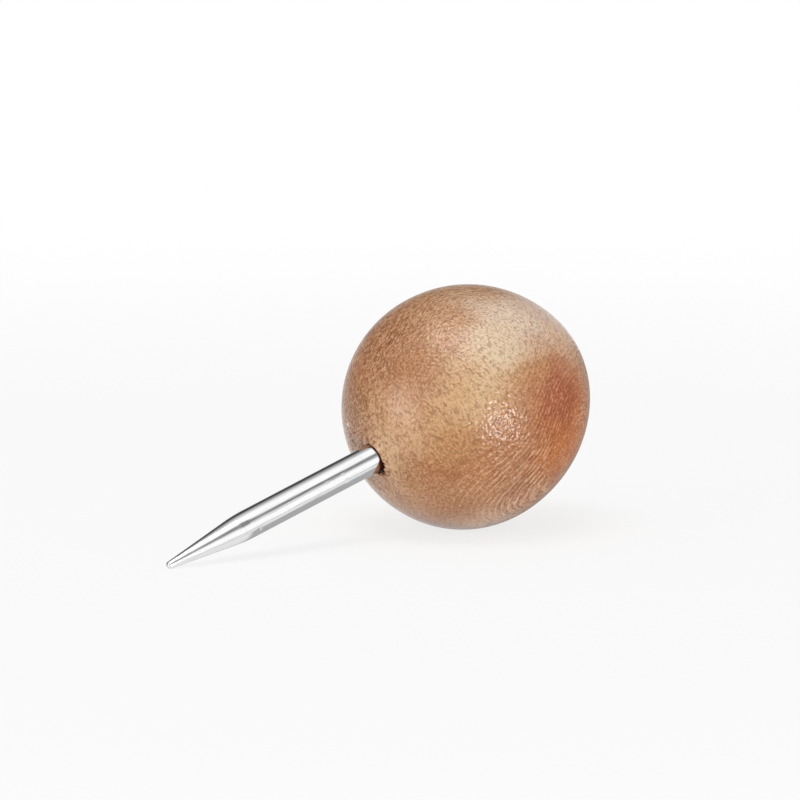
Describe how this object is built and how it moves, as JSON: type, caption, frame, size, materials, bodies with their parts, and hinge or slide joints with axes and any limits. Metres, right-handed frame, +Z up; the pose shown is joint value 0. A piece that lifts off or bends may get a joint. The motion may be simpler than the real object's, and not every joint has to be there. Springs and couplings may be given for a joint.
{
  "type": "push pin",
  "caption": "Push pin with a lacquered turned wooden ball head glued on a pointed plated steel wire.",
  "frame": {"origin": "middle of the table area that the lying pin covers: on the table, under the middle of its length and width", "axes": "+Z up from the table; +X along the lying pin's length, from the tip to the head"},
  "size_m": [0.0208, 0.01, 0.01],
  "materials": {
    "lacquered_wood": "satin",
    "plated_steel": "polished",
    "cured_glue": "gloss"
  },
  "bodies": {
    "root": {"wooden_head": "lacquered_wood", "steel_pin": "plated_steel", "glue_sleeve": "cured_glue"}
  },
  "joints": []
}
